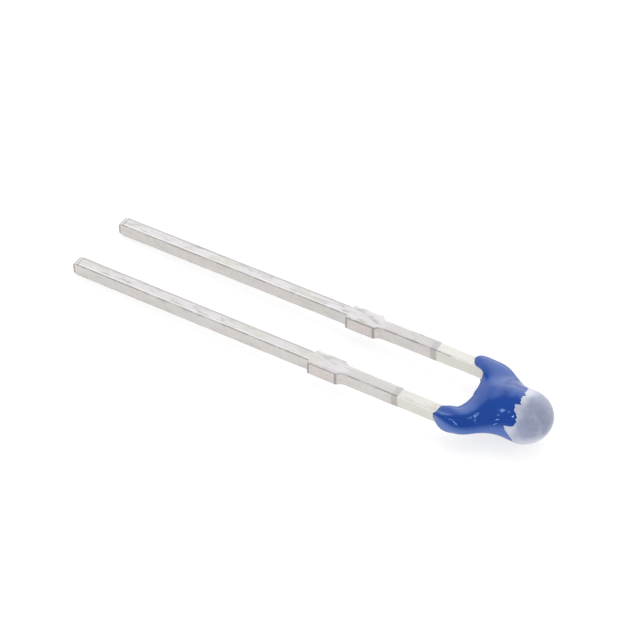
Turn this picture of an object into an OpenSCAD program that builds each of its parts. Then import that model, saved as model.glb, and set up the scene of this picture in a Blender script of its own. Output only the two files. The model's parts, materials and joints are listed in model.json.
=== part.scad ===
// NTC thermistor with stamped leads.
// A ceramic chip stands on edge between the tips of two flat leads, is soldered to them, and is
// dipped in lacquer. The bead's end carries a second dip of marking paint.
// Millimetres. The parts are drawn in the board frame: the origin lies midway between the leads
// in the plane of the board, +X runs from the board towards the bead, and +Y towards the left
// lead. The last section lays the whole thing on its side, as it comes to rest on a table.

/* [Leads] */
// Distance between the centrelines of the two leads
lead_pitch = 2.54; // [2.4:0.01:3.2]
// Thickness of the sheet that the leads are stamped from
sheet_t = 0.5; // [0.4:0.01:0.6]
// Width of a lead's shank
shank_w = 0.45; // [0.35:0.01:0.5]
// Length of the left pin below its board stop
pin_len = 9.4; // [4:0.1:20]
// How much longer the right pin was cut than the left one
right_pin_extra = 0.2; // [0:0.05:0.6]
// Length of the sheared slope at a pin's end
pin_nose_len = 0.16; // [0.05:0.01:0.3]
// Depth of the sheared slope on each face of the pin's end
pin_nose_depth = 0.06; // [0.02:0.01:0.1]

/* [Board stop] */
// Length of the widened stop, from its square shoulder
stop_len = 1.13; // [0.8:0.01:2]
// How far the stop stands out from each side of the shank
stop_proud = 0.13; // [0.12:0.01:0.2]
// Length of the hollow run-out behind the stop
stop_runout = 0.28; // [0.2:0.01:0.5]
// Radius on the outer corners of the square shoulder
stop_corner_r = 0.03; // [0.01:0.01:0.04]
// Radius in the inner corners between the shoulder and the shank
stop_fillet_r = 0.05; // [0.02:0.01:0.07]

/* [Chip] */
// Height and length of the square ceramic chip
chip_side = 0.95; // [0.7:0.01:1]
// Thickness of the ceramic chip
chip_t = 0.45; // [0.3:0.01:0.6]
// Thickness of the fired silver on each face of the chip
electrode_t = 0.03; // [0.02:0.01:0.05]
// Bare rim left around each silver face
electrode_rim = 0.04; // [0.02:0.01:0.1]
// Thickness of the solder between the silver and a lead
solder_t = 0.03; // [0.02:0.01:0.06]
// Width of the solder fillet around a lead's tip
solder_fillet = 0.12; // [0.06:0.01:0.16]
// Straight run of a lead between its last bend and the chip
bend_to_chip = 0.1; // [0.05:0.01:0.2]

/* [Coating] */
// Distance from the board face to the lower edge of the lacquer
standoff = 4.7; // [3:0.01:8]
// Height of the crotch between the lacquered legs, above the lower edge
crotch_rise = 0.72; // [0.6:0.01:1.2]
// Height of the bead's centre above the lower edge
bead_rise = 2.56; // [2.3:0.01:3.2]
// Radius of the bead, seen square to the sheet
bead_r = 1.0; // [0.95:0.01:1.3]
// Half the thickness of the bead, across the sheet
bead_half_t = 0.78; // [0.72:0.01:1]
// Lacquer over the outer side of a lead at its thickest
side_coat = 0.25; // [0.15:0.01:0.4]
// Lacquer over the faces of a lead at its thickest
face_coat = 0.17; // [0.1:0.01:0.3]
// Thickness of the lacquer at its lower edge
edge_coat = 0.03; // [0.02:0.01:0.06]
// How much higher the lower edge runs on the inner side of the left lead
left_edge_slant = 0.5; // [0:0.01:0.6]
// How much higher the lower edge runs on the inner side of the right lead
right_edge_slant = 0.25; // [0:0.01:0.6]

/* [Marking paint] */
// Thickness of the marking paint on the bead
paint_t = 0.03; // [0.02:0.01:0.05]
// Distance from the bead's centre back to the paint's edge on the left side
left_paint_reach = 0.16; // [-0.1:0.01:0.3]
// Distance from the bead's centre back to the paint's edge on the right side
right_paint_reach = -0.08; // [-0.3:0.01:0.3]
// Height of the waves along the paint's edge
paint_wave = 0.08; // [0:0.01:0.15]

/* [Hidden] */
LEFT = 1;
RIGHT = -1;
// True circles and arcs
$fn = 64;
// Overshoot that keeps a cutter's faces clear of what it cuts
cut = 0.5;

// Where things stand along the leads
right_pin_len = pin_len + right_pin_extra;
lead_y = lead_pitch / 2;
coat_x = standoff;
crotch_x = coat_x + crotch_rise;
bead_x = coat_x + bead_rise;
tip_x = bead_x + bead_r;

// The leads close in on the chip inside the lacquer
chip_lead_y = chip_t / 2 + electrode_t + solder_t + shank_w / 2;
crank_start_x = crotch_x;
crank_end_x = bead_x - chip_side / 2 - bend_to_chip;
lead_tip_x = bead_x + chip_side / 2 - solder_fillet;
crank_angle = atan2(lead_y - chip_lead_y, crank_end_x - crank_start_x);
crank_mitre = shank_w / 2 * tan(crank_angle / 2);

// The hollow behind the stop is an arc that runs out flush on the shank
runout_r = (stop_runout ^ 2 + stop_proud ^ 2) / (2 * stop_proud);

function lerp(a, b, t) = a + (b - a) * t;
function ease(t) = t * t * (3 - 2 * t);
function bezier(a, b, c, d, t) =
    (1 - t) ^ 3 * a + 3 * (1 - t) ^ 2 * t * b + 3 * (1 - t) * t ^ 2 * c + t ^ 3 * d;

// ---------------------------------------------------------------- leads

// Outline of one lead, square to the sheet. The left lead has +Y, and the right one is its mirror.
module lead_outline(pin_len) {
    half = shank_w / 2;
    polygon([
        [-pin_len, lead_y - half],
        [crank_start_x - crank_mitre, lead_y - half],
        [crank_end_x - crank_mitre, chip_lead_y - half],
        [lead_tip_x, chip_lead_y - half],
        [lead_tip_x, chip_lead_y + half],
        [crank_end_x + crank_mitre, chip_lead_y + half],
        [crank_start_x + crank_mitre, lead_y + half],
        [-pin_len, lead_y + half]
    ]);
    translate([0, lead_y]) {
        stop_side();
        mirror([0, 1]) stop_side();
    }
}

// One side of the board stop: a square shoulder towards the board and a hollow run-out behind it
module stop_side() {
    edge = shank_w / 2 + stop_proud;
    translate([stop_corner_r, 0]) square([stop_len - stop_corner_r, edge]);
    square([2 * stop_corner_r, edge - stop_corner_r]);
    translate([stop_corner_r, edge - stop_corner_r]) circle(r = stop_corner_r);
    difference() {
        translate([-stop_fillet_r, 0]) square([2 * stop_fillet_r, shank_w / 2 + stop_fillet_r]);
        translate([-stop_fillet_r, shank_w / 2 + stop_fillet_r]) circle(r = stop_fillet_r);
    }
    difference() {
        translate([stop_len / 2, 0]) square([stop_len / 2 + stop_runout, edge]);
        translate([stop_len + stop_runout, shank_w / 2 + runout_r]) circle(r = runout_r);
    }
}

// The slopes that the shear leaves on both faces of a pin's end
module pin_nose_cuts(pin_len) {
    for (face = [1, -1])
        translate([-pin_len, lead_y + shank_w, 0])
            rotate([90, 0, 0])
                linear_extrude(2 * shank_w)
                    polygon([
                        [-cut, face * (sheet_t / 2 + cut)],
                        [-cut, face * (sheet_t / 2 - pin_nose_depth)],
                        [0, face * (sheet_t / 2 - pin_nose_depth)],
                        [pin_nose_len, face * sheet_t / 2],
                        [pin_nose_len, face * (sheet_t / 2 + cut)]
                    ]);
}

module lead(pin_len) {
    difference() {
        translate([0, 0, -sheet_t / 2]) linear_extrude(sheet_t) lead_outline(pin_len);
        pin_nose_cuts(pin_len);
    }
}

module left_lead_shape() {
    lead(pin_len);
}

module right_lead_shape() {
    mirror([0, 1, 0]) lead(right_pin_len);
}

module left_lead() {
    color("silver") as_it_lies() left_lead_shape();
}

module right_lead() {
    color("silver") as_it_lies() right_lead_shape();
}

// ---------------------------------------------------------------- chip

// A square plate standing on edge at the bead's centre, with its faces towards the two leads
module edge_plate(side, t, y) {
    translate([bead_x - side / 2, y - t / 2, -side / 2]) cube([side, t, side]);
}

module electrode_shape(side) {
    edge_plate(chip_side - 2 * electrode_rim, electrode_t, side * (chip_t + electrode_t) / 2);
}

module ceramic_chip() {
    color("dimgray") as_it_lies() edge_plate(chip_side, chip_t, 0);
}

module left_electrode() {
    color("gainsboro") as_it_lies() electrode_shape(LEFT);
}

module right_electrode() {
    color("gainsboro") as_it_lies() electrode_shape(RIGHT);
}

// Solder between the silver and a lead's tip, with a sloping fillet on all four sides of the lead
module solder_shape() {
    silver_y = chip_t / 2 + electrode_t;
    silver_side = chip_side - 2 * electrode_rim;
    difference() {
        hull() {
            translate([bead_x - silver_side / 2, silver_y, -silver_side / 2])
                cube([silver_side, solder_t, silver_side]);
            translate([bead_x - silver_side / 2, silver_y, -sheet_t / 2])
                cube([silver_side / 2 + lead_tip_x - bead_x + solder_fillet / 2,
                      solder_t + 2 * solder_fillet, sheet_t]);
        }
        translate([0, 0, -sheet_t / 2]) linear_extrude(sheet_t) lead_outline(pin_len);
    }
}

module left_solder() {
    color("darkgray") as_it_lies() solder_shape();
}

module right_solder() {
    color("darkgray") as_it_lies() mirror([0, 1, 0]) solder_shape();
}

// ---------------------------------------------------------------- lacquer

// The skin is a closed loop of arched sections. Each one stands on the plan outline at the sheet's
// mid-plane and arches over to a ridge, which runs up the legs, along the neck and into the bead.
leg_steps = 12;
neck_steps = 7;
cap_steps = 9;
arch_steps = 9;
relax_passes = 16;
half_count = 2 * leg_steps + neck_steps + cap_steps + 2;
ridge_count = 2 * leg_steps + neck_steps + 1;

edge_half_w = shank_w / 2 + edge_coat;
edge_half_t = sheet_t / 2 + edge_coat;
leg_half_t = sheet_t / 2 + face_coat;
// A leg bulges most at its shoulder
shoulder_x = lerp(coat_x, bead_x, 0.32);
shoulder_y = lead_y + shank_w / 2 + side_coat;
// The legs' ridges bend together and meet square to the neck's ridge
fork_x = lerp(crotch_x, bead_x, 0.4);
// Share of the outer outline below the shoulder, and share that belongs to a leg's ridge
shoulder_share = 0.34;
leg_share = 0.62;
// The lacquer thickens from here to the bead's centre
thin_x = lerp(coat_x, crotch_x, 0.58);
// Share of a leg over which the lacquer swells from its lower edge
swell_share = 0.35;

// The ridge of a leg runs up the lead's centreline and bends over to the fork
function leg_ridge(s, slant) = bezier(
    [coat_x + slant / 2, lead_y], [lerp(coat_x, crotch_x, 1.05), lead_y],
    [fork_x, lead_y * 0.66], [fork_x, 0], s);

// The outline between the legs is a U from the lower edge to the crotch
function inner_outline(s, slant) = bezier(
    [coat_x + slant, lead_y - edge_half_w],
    [lerp(coat_x + slant, crotch_x, 0.45), lead_y - edge_half_w - side_coat / 4],
    [crotch_x, lead_y * 0.5], [crotch_x, 0], s);

// The outline outside a leg swells to the shoulder and draws in to the bead
function outer_outline(u) = u < shoulder_share
    ? bezier([coat_x, lead_y + edge_half_w], [lerp(coat_x, shoulder_x, 0.3), shoulder_y - side_coat / 4],
             [lerp(coat_x, shoulder_x, 0.6), shoulder_y], [shoulder_x, shoulder_y],
             u / shoulder_share)
    : bezier([shoulder_x, shoulder_y], [lerp(shoulder_x, bead_x, 0.42), shoulder_y],
             [lerp(shoulder_x, bead_x, 0.45), bead_r], [bead_x, bead_r],
             (u - shoulder_share) / (1 - shoulder_share));

// Half thickness over a point of the plan that belongs to the share s of a leg
function half_thickness(x, s) =
    let (rise = max(0, min(1, (x - thin_x) / (bead_x - thin_x))))
    lerp(edge_half_t, lerp(leg_half_t, bead_half_t, ease(rise)), sin(90 * min(1, s / swell_share)));

// An arch is squarer where it follows the lead's own section
function squareness(s) = lerp(4.5, 2, ease(min(1, s / 0.5)));

// Ridge points are numbered from the fork up the neck, then the left leg's and the right leg's
function leg_ridge_number(i, side) =
    i == leg_steps ? 0 : neck_steps + 1 + i + (side == LEFT ? 0 : leg_steps);

// One half of the loop, from the crotch round a leg to the bead's tip. A section holds
// [point of the outline, foot of the ridge, share of the leg, number of the ridge point].
function half_loop(side, slant) = [
    for (s = concat(
        [for (i = [leg_steps : -1 : 0]) let (s = i / leg_steps)
            [inner_outline(s, slant), leg_ridge(s, slant), s, leg_ridge_number(i, side)]],
        [for (i = [0 : leg_steps]) let (s = i / leg_steps)
            [outer_outline(s * leg_share), leg_ridge(s, slant), s, leg_ridge_number(i, side)]],
        [for (i = [1 : neck_steps]) let (s = i / neck_steps)
            [outer_outline(lerp(leg_share, 1, s)), lerp([fork_x, 0], [bead_x, 0], s), 1, i]],
        [for (i = [1 : cap_steps]) let (a = 90 * i / cap_steps)
            [[bead_x + bead_r * sin(a), bead_r * cos(a)], [bead_x, 0], 1, neck_steps]]))
        [[s[0][0], side * s[0][1]], [s[1][0], side * s[1][1]], s[2], s[3]]
];
right_half = half_loop(RIGHT, right_edge_slant);
loop = concat(half_loop(LEFT, left_edge_slant), [for (i = [half_count - 2 : -1 : 1]) right_half[i]]);

// The sections of the loop as rows of points, each from its ridge below, around the outline, to
// its ridge above. A skin that has grown lies that much further out.
function arched_rows(grow) = [
    for (s = loop) [
        for (k = [-arch_steps : arch_steps])
            let (
                a = 90 * k / arch_steps,
                power = 2 / squareness(s[2]),
                edge = s[0] + grow * (s[0] - s[1]) / norm(s[0] - s[1]),
                plan = lerp(s[1], edge, cos(a) ^ power)
            )
            [plan[0], plan[1], sign(k) * abs(sin(a)) ^ power * (half_thickness(plan[0], s[2]) + grow)]
    ]
];

// Sections that meet in each point of the ridge
ridge_sections = [
    for (r = [0 : ridge_count - 1]) [for (n = [0 : len(loop) - 1]) if (loop[n][3] == r) n]
];

// How strongly surface tension pulls on a point of a section: most on the ridge at the fork, and
// not at all on the outline, at the lower edge or on the bead
function tension(s, k) =
    0.5 * ease(abs(k - arch_steps) / arch_steps) * ease(min(1, s[2] / 0.6))
    * min(1, max(0, (bead_x - s[1][0]) / (bead_x - fork_x)));

function mean(points) = [for (p = points) 1] * points / len(points);

// Middle of a point's neighbours in its own section and in the sections on both sides
function between(rows, n, k) =
    let (
        before = rows[(n + len(rows) - 1) % len(rows)][k],
        after = rows[(n + 1) % len(rows)][k],
        is_ridge = k == 0 || k == 2 * arch_steps,
        beside = is_ridge
            ? mean([for (m = ridge_sections[loop[n][3]]) rows[m][k == 0 ? 1 : k - 1]])
            : (rows[n][k - 1] + rows[n][k + 1]) / 2,
        along = is_ridge
            ? mean([
                for (m = ridge_sections[loop[n][3]])
                    each [rows[(m + len(rows) - 1) % len(rows)][k], rows[(m + 1) % len(rows)][k]]
            ])
            : (before + after) / 2
    )
    (beside + along) / 2;

// While it is wet, the lacquer's surface tension rounds the fold where the legs' ridges meet
function relaxed(rows, passes) = passes == 0 ? rows : relaxed([
    for (n = [0 : len(rows) - 1]) [
        for (k = [0 : 2 * arch_steps])
            lerp(rows[n][k], between(rows, n, k), tension(loop[n], k))
    ]
], passes - 1);

module lacquer_skin(grow = 0) {
    rows = relaxed(arched_rows(grow), relax_passes);
    arch_count = 2 * arch_steps - 1;
    arch_points = [for (row = rows, k = [1 : arch_count]) row[k]];
    ridge_points = [for (sections = ridge_sections, k = [0, 2 * arch_steps]) rows[sections[0]][k]];
    function index(i, k) =
        let (n = i % len(loop))
        k > 0 && k <= arch_count
            ? n * arch_count + k - 1
            : len(arch_points) + 2 * loop[n][3] + (k > 0 ? 1 : 0);
    triangles = [
        for (i = [0 : len(loop) - 1], k = [0 : arch_count])
            let (q = [index(i, k), index(i, k + 1), index(i + 1, k + 1), index(i + 1, k)])
            each [[q[0], q[2], q[1]], [q[0], q[3], q[2]]]
    ];
    polyhedron(
        points = concat(arch_points, ridge_points),
        faces = [for (t = triangles) if (t[0] != t[1] && t[1] != t[2] && t[2] != t[0]) t]
    );
}

module lacquer_coating() {
    color("royalblue")
        as_it_lies()
            difference() {
                lacquer_skin();
                left_lead_shape();
                right_lead_shape();
                edge_plate(chip_side, chip_t, 0);
                electrode_shape(LEFT);
                electrode_shape(RIGHT);
                solder_shape();
                mirror([0, 1, 0]) solder_shape();
            }
}

// ---------------------------------------------------------------- marking paint

// Everything beyond a wavy, slanted edge around the bead, towards its tip
module painted_region() {
    wave_steps = 48;
    outer_r = 2 * bead_r;
    edge_ring = [
        for (i = [0 : wave_steps - 1])
            let (
                a = 360 * i / wave_steps,
                reach = lerp(right_paint_reach, left_paint_reach, (1 + cos(a) * outer_r / bead_r) / 2)
            )
            [bead_x - reach + paint_wave * (0.6 * sin(3 * a + 40) + 0.4 * sin(8 * a)),
             outer_r * cos(a), outer_r * sin(a)]
    ];
    far_ring = [for (p = edge_ring) [tip_x + cut, p[1], p[2]]];
    near_hub = 2 * wave_steps;
    far_hub = near_hub + 1;
    hub_x = bead_x - (left_paint_reach + right_paint_reach) / 2;
    polyhedron(
        points = concat(edge_ring, far_ring, [[hub_x, 0, 0], [tip_x + cut, 0, 0]]),
        faces = [
            for (i = [0 : wave_steps - 1]) let (j = (i + 1) % wave_steps)
                each [
                    [near_hub, i, j],
                    [far_hub, wave_steps + j, wave_steps + i],
                    [i, wave_steps + i, wave_steps + j],
                    [i, wave_steps + j, j]
                ]
        ]
    );
}

module marking_paint() {
    color("lightsteelblue")
        as_it_lies()
            difference() {
                intersection() {
                    lacquer_skin(paint_t);
                    painted_region();
                }
                lacquer_skin();
            }
}

// ---------------------------------------------------------------- as it lies

// The bead and the longer pin's end touch the table, so the leads slope down to their ends
painted_half_t = bead_half_t + paint_t;
rest_reach = bead_x + right_pin_len - pin_nose_len;
rest_angle = atan((painted_half_t - sheet_t / 2) / rest_reach);
overall_mid_x = (tip_x + paint_t - right_pin_len) / 2;
lift = painted_half_t * cos(rest_angle) - (bead_x - overall_mid_x) * sin(rest_angle);

module as_it_lies() {
    translate([0, 0, lift]) rotate([0, -rest_angle, 0]) translate([-overall_mid_x, 0, 0]) children();
}

left_lead();
right_lead();
ceramic_chip();
left_electrode();
right_electrode();
left_solder();
right_solder();
lacquer_coating();
marking_paint();
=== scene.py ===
import json
import math
import random

import bpy
import numpy as np
from mathutils import Matrix, Vector
from mathutils.bvhtree import BVHTree


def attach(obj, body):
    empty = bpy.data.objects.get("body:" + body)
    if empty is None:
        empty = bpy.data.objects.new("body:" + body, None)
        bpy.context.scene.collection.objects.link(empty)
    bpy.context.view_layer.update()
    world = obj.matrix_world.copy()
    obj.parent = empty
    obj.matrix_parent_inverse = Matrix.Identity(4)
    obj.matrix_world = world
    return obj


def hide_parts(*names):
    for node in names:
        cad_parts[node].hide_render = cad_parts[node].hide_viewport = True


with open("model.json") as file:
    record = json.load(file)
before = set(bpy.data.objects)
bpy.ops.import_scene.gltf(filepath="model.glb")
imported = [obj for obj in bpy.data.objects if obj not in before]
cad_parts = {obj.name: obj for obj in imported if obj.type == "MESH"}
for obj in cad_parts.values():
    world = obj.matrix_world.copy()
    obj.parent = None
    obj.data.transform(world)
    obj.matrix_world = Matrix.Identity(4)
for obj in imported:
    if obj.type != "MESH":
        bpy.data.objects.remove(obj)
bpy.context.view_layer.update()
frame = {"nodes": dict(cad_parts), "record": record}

print("frame loaded:", ", ".join(sorted(frame["nodes"])))

mm = 0.001

# The thermistor's own frame, as it stands on a board, in millimetres: x from the board to the
# bead, y towards the left lead, z square to the sheet. The record's pins say how it lies here.
pins = next(m for m in frame["record"]["mounts"] if m["name"] == "solder_pins")
boardOrigin = np.array(pins["pos_m"])
towardsBead = -np.array(pins["axis"])
towardsLeft = np.array([0.0, 1.0, 0.0])
offSheet = np.cross(towardsBead, towardsLeft)


def laid(points):  # from the thermistor's own frame to the scene's
    p = np.asarray(points, float) * mm
    return boardOrigin + p[..., :1] * towardsBead + p[..., 1:2] * towardsLeft + p[..., 2:] * offSheet


def ease(t):
    t = min(1.0, max(0.0, t))
    return t * t * (3 - 2 * t)


def lerp(a, b, t):
    return a + (b - a) * t


def bezier(a, b, c, d, t):
    a, b, c, d = (np.array(p, float) for p in (a, b, c, d))
    return (1 - t) ** 3 * a + 3 * (1 - t) ** 2 * t * b + 3 * (1 - t) * t ** 2 * c + t ** 3 * d


def makePiece(name, points, faces, sharpAngle=None):
    mesh = bpy.data.meshes.new(name)
    mesh.from_pydata([tuple(p) for p in points], [], [tuple(int(i) for i in f) for f in faces])
    mesh.validate()
    mesh.shade_smooth()
    if sharpAngle:
        mesh.set_sharp_from_angle(angle=math.radians(sharpAngle))
    piece = bpy.data.objects.new(name, mesh)
    bpy.context.scene.collection.objects.link(piece)
    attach(piece, "root")
    return piece


def storeAttribute(piece, name, values):
    values = np.asarray(values, np.float32)
    kind, field = ("FLOAT_VECTOR", "vector") if values.ndim == 2 else ("FLOAT", "value")
    attribute = piece.data.attributes.new(name, kind, "POINT")
    attribute.data.foreach_set(field, values.ravel())


def linear(hexColour):  # sRGB hex to the linear colour that a socket takes
    channels = [int(hexColour[i:i + 2], 16) / 255 for i in (1, 3, 5)]
    return [c / 12.92 if c <= 0.04045 else ((c + 0.055) / 1.055) ** 2.4 for c in channels] + [1.0]


def addNode(tree, kind, inputs=None, **settings):  # an input takes a value, a socket or a node
    node = tree.nodes.new(kind)
    for name, value in settings.items():
        setattr(node, name, value)
    for name, value in (inputs or {}).items():
        if isinstance(value, bpy.types.Node):
            value = next(output for output in value.outputs if output.enabled)
        if isinstance(value, bpy.types.NodeSocket):
            tree.links.new(value, node.inputs[name])
        else:
            node.inputs[name].default_value = value
    return node


def startMaterial(name):
    material = bpy.data.materials.new(name)
    material.use_nodes = True
    tree = material.node_tree
    tree.nodes.clear()
    shader = addNode(tree, "ShaderNodeBsdfPrincipled")
    addNode(tree, "ShaderNodeOutputMaterial", {"Surface": shader})
    return material, tree, shader


# Matte tin, plated on the strip before stamping: a soft, nearly white metal, scuffed on its
# faces and duller on its sheared sides, with a fine burr along its arrises, darkened there with
# painted shade. White painted highlight lies in a band inside the right edge of the pins' faces,
# on the dipped arrises and as glints. Painted shade lies along the left edge of the pins' faces.
# Tin and solder are rough here from 0.5 to 0.65, as matte plating is. Lengths are in
# millimetres, and a value for each side has 1 for the left lead and -1 for the right one.
tin = {
    "face": "#E0DEDF", "run": "#D6D3D2",  # the pins, and the leads past the board stops
    # The white here is painted highlight: glints, a band by the pins' right edge, and the dipped arrises
    "scuff": "#CCCEC8", "bloom": "#E6E1E5", "grease": "#DBD8CC", "pit": "#7C7773", "paintedHighlight": "#FFFFFF",
    "side": "#DEDAD7", "sideDull": "#CFCBC8", "nose": "#D6D4D1",
    "burrAndShade": "#8E8680", "leftEdgeShade": "#BDBBBA",  # arrises: burred all round, the burr darkened with painted shade, and painted shade along the left edge of the pins' faces
    "band": "#CBC9C9", "bandSide": "#C3BFBC",  # the flux line round each lead
    "dipped": "#E3E1DC", "dippedSide": "#DFDCD5", "dippedDull": "#CFCEBF",  # solder drawn up from the bead
    "cut": "#DED8D5", "cutDull": "#C0B9B6", "cutEdge": "#8C8581",  # where the dam bar was cut off
    "roughness": 0.55, "scuffRoughness": 0.1, "dippedRoughness": -0.05,  # the last two are added
    "bump": 0.35, "bumpDepth": 0.012, "scratchRelief": 0.8, "hatchRelief": 0.5, "tornRelief": 1.5,
    "bandStart": {1: 3.24, -1: 3.17}, "burrEnd": {1: 4.1, -1: 3.45}, "wander": 0.1,
    "grit": 0.6,  # how strong the finest marks in each noise are
    # Noises: length and width of their marks, octaves, seed, and lean in degrees. Real drawing
    # lines and shear marks are about 5 times finer than the scratches and hatching drawn here.
    "patterns": {
        "scuffs": (0.55, 0.14, 5, 7.0, 0), "clouds": (1.6, 0.5, 2, 3.0, 0),
        "scratches": (0.16, 0.035, 4, 11.0, 0), "lines": (1.3, 0.035, 2, 41.0, 0),
        "specks": (0.07, 0.05, 2, 13.0, 0), "dashes": (0.45, 0.6, 3, 17.0, 0),
        "hatching": (0.035, 0.6, 2, 23.0, 28), "torn": (0.09, 0.07, 4, 31.0, 0),
    },
    # Marks and zones: what each is read from, and the values where it starts and where it is full
    "marks": {
        "scuffed": ("scuffs", 0.50, 0.68), "scratched": ("scratches", 0.56, 0.68),
        "blooming": ("clouds", 0.45, 0.62), "grease": ("clouds", 0.48, 0.36),
        # The dark specks are pits; the white ones, on the scuffs, are painted glints
        "pitted": ("specks", 0.70, 0.76), "paintedGlintSpecks": ("specks", 0.36, 0.30),
        "dashed": ("dashes", 0.44, 0.56), "lined": ("lines", 0.60, 0.72),
        "hatched": ("hatching", 0.42, 0.62), "tornPart": ("torn", 0.48, 0.66),
    },
    "zones": {
        "nearFace": ("height", 0.205, 0.232), "nearRim": ("inward", 0.036, 0.018),
        # Bands just inside the rim: painted shade along the left edge, painted highlight along the right edge
        "margin": ("inward", 0.09, 0.03), "paintedHighlightIn": ("inward", 0.026, 0.040),
        "paintedHighlightOut": ("inward", 0.085, 0.060),
        "rightSide": ("leftwards", 0.05, -0.05), "leftSide": ("leftwards", -0.05, 0.05),
        "onPin": ("along", 0.1, -0.2), "onRun": ("along", 1.25, 1.6),
        "stopStart": ("along", 0.12, 0.06), "stopEnd": ("along", 1.03, 1.08),
        "nose": ("fromPinEnd", 0.172, 0.148), "noseLine": ("fromPinEnd", 0.22, 0.18),
        "tipLine": ("fromPinEnd", 0.10, 0.05), "burred": ("pastBurrs", 0.05, -0.05),
        "intoBand": ("fromBand", 0.03, 0.07), "pastBand": ("fromBand", 0.27, 0.31),
    },
    # Tones laid over each other in turn, each with its mask and strength
    "faceLayers": [
        ("blooming", 0.6, "bloom"), ("onRun", 0.8, "run"), ("scuffed", 0.8, "scuff"),
        ("grease", 0.5, "grease"), ("scratch", 0.5, "pit"), ("lined", 0.3, "pit"),
        ("inBand", 0.9, "band"), ("bandMarks", 0.3, "pit"), ("pastBand", 1.0, "dipped"),
        ("wetMarks", 0.6, "dippedDull"),
    ],
    "sideLayers": [
        ("hatched", 0.45, "sideDull"), ("scuffed", 0.35, "sideDull"), ("inBand", 0.9, "bandSide"),
        ("pastBand", 1.0, "dippedSide"), ("cut", 0.9, "cut"), ("tornFace", 0.6, "cutDull"),
        ("frame", 0.62, "cutEdge"),
    ],
    "wholeLayers": [
        # Among these are white painted highlight (glints, the band by the right edge, the dipped arrises) and
        # painted shade (the left edge, the burr line)
        ("pits", 0.6, "pit"), ("paintedGlints", 0.7, "paintedHighlight"), ("paintedHighlight", 0.55, "paintedHighlight"),
        ("leftEdgeShade", 1.0, "leftEdgeShade"), ("dippedArrisHighlight", 1.0, "paintedHighlight"), ("noseFace", 1.0, "nose"),
        ("noseMark", 0.6, "burrAndShade"), ("tipLine", 0.55, "burrAndShade"), ("burrAndShade", 0.45, "burrAndShade"),
    ],
}


def tinPatterns(tree, place, side):
    patterns = {}
    for key, (length, width, detail, seed, lean) in tin["patterns"].items():
        ownPart = (seed, seed, seed + 10 * lead["pin"][side])  # so the two leads aren't marked alike
        turned = addNode(tree, "ShaderNodeMapping", {"Vector": place, "Location": ownPart,
                         "Rotation": (0, math.radians(lean), 0)})
        scaled = addNode(tree, "ShaderNodeMapping", {"Vector": turned,
                         "Scale": (1 / length, 1 / width, 1 / width)})
        patterns[key] = addNode(tree, "ShaderNodeTexNoise",
                                {"Vector": scaled, "Scale": 1.0, "Detail": detail,
                                 "Roughness": tin["grit"]})
    return patterns


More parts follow.
